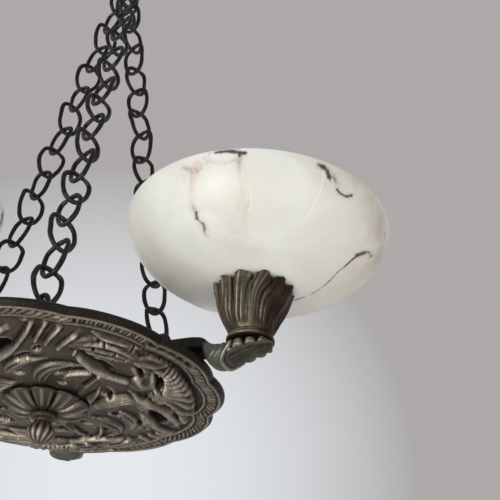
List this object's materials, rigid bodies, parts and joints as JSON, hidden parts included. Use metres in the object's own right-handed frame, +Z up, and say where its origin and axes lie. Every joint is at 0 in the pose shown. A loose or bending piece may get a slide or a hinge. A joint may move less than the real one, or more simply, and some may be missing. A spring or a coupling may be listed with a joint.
{
  "type": "alabaster bowl chandelier",
  "caption": "Cast bronze relief plate hung on wire-link chains, with short leaf arms that carry fluted cups and open alabaster uplight bowls.",
  "frame": {"origin": "the ceiling plane on the pendant's axis, at the centre of the ceiling bracket's two screw holes", "axes": "+Z up; X runs along the ceiling bracket; the pictured arm points between +X and -Y, 60 degrees clockwise from +X seen from above"},
  "size_m": [0.455, 0.4944, 0.7088],
  "materials": {
    "bronze": "satin",
    "arm_bronze": "satin",
    "cup_bronze": "satin",
    "iron": "satin",
    "alabaster": "satin",
    "canopy_bronze": "satin",
    "brass": "satin",
    "steel": "satin",
    "porcelain": "gloss",
    "bulb_glass": "satin",
    "rubber": "matte",
    "fibre": "matte",
    "terminal_plastic": "satin"
  },
  "bodies": {
    "ceiling": {"ceiling_bracket": "steel"},
    "hook": {"ceiling_hook": "iron", "hook_lock_nut": "steel"},
    "canopy": {"canopy": "canopy_bronze", "canopy_bush": "rubber", "canopy_collar": "brass"},
    "thumb_screw": {"collar_screw": "brass"},
    "hanging_link": {"hanging_link": "iron"},
    "finial": {"finial": "bronze"},
    "bulb_1": {"bulb_cap_1": "brass", "bulb_glass_1": "bulb_glass"},
    "bulb_2": {"bulb_cap_2": "brass", "bulb_glass_2": "bulb_glass"},
    "bulb_3": {"bulb_cap_3": "brass", "bulb_glass_3": "bulb_glass"},
    "pendant": {"arm_1": "arm_bronze", "arm_2": "arm_bronze", "arm_3": "arm_bronze", "arm_screws": "brass", "bowl_1": "alabaster", "bowl_2": "alabaster", "bowl_3": "alabaster", "centre_nut": "brass", "centre_rod": "steel", "centre_washer": "brass", "chain_back": "iron", "chain_eye_back": "iron", "chain_eye_front": "iron", "chain_eye_right": "iron", "chain_front": "iron", "chain_right": "iron", "clamp_nuts": "brass", "clamp_washers": "brass", "cover_bush": "rubber", "cup_1": "cup_bronze", "cup_2": "cup_bronze", "cup_3": "cup_bronze", "gaskets": "fibre", "gather_ring": "iron", "lamp_contacts": "brass", "lampholder_1": "porcelain", "lampholder_2": "porcelain", "lampholder_3": "porcelain", "nipple_1": "brass", "nipple_2": "brass", "nipple_3": "brass", "relief_plate": "bronze", "rosette": "bronze", "seat_discs": "steel", "spacer_sleeve_1": "steel", "spacer_sleeve_2": "steel", "spacer_sleeve_3": "steel", "terminal_block": "terminal_plastic", "top_cover": "bronze"}
  },
  "joints": [
    {"name": "hook_turn", "type": "hinge", "parent": "ceiling", "child": "hook", "pos_m": [0, 0, -0.05], "axis": [0, 0, 1], "range_deg": [-180, 180]},
    {"name": "canopy_drop", "type": "slide", "parent": "hook", "child": "canopy", "axis": [0, 0, -1], "range_m": [0, 0.04]},
    {"name": "thumb_screw_turn", "type": "hinge", "parent": "canopy", "child": "thumb_screw", "pos_m": [0.012, 0, -0.0513], "axis": [1, 0, 0], "range_deg": [0, 720]},
    {"name": "link_swing", "type": "hinge", "parent": "hook", "child": "hanging_link", "pos_m": [0, 0, -0.13517], "axis": [0, 1, 0], "range_deg": [-30, 30]},
    {"name": "pendant_swing", "type": "hinge", "parent": "hanging_link", "child": "pendant", "pos_m": [0, 0, -0.16907], "axis": [1, 0, 0], "range_deg": [-30, 30]},
    {"name": "finial_turn", "type": "hinge", "parent": "pendant", "child": "finial", "pos_m": [0, 0, -0.69306], "axis": [0, 0, 1], "continuous": true},
    {"name": "bulb_1_turn", "type": "hinge", "parent": "pendant", "child": "bulb_1", "pos_m": [0.085, -0.14722, -0.56306], "axis": [0, 0, 1], "range_deg": [0, 1080]},
    {"name": "bulb_2_turn", "type": "hinge", "parent": "pendant", "child": "bulb_2", "pos_m": [0.085, 0.14722, -0.56306], "axis": [0, 0, 1], "range_deg": [0, 1080]},
    {"name": "bulb_3_turn", "type": "hinge", "parent": "pendant", "child": "bulb_3", "pos_m": [-0.17, 0, -0.56306], "axis": [0, 0, 1], "range_deg": [0, 1080]}
  ]
}
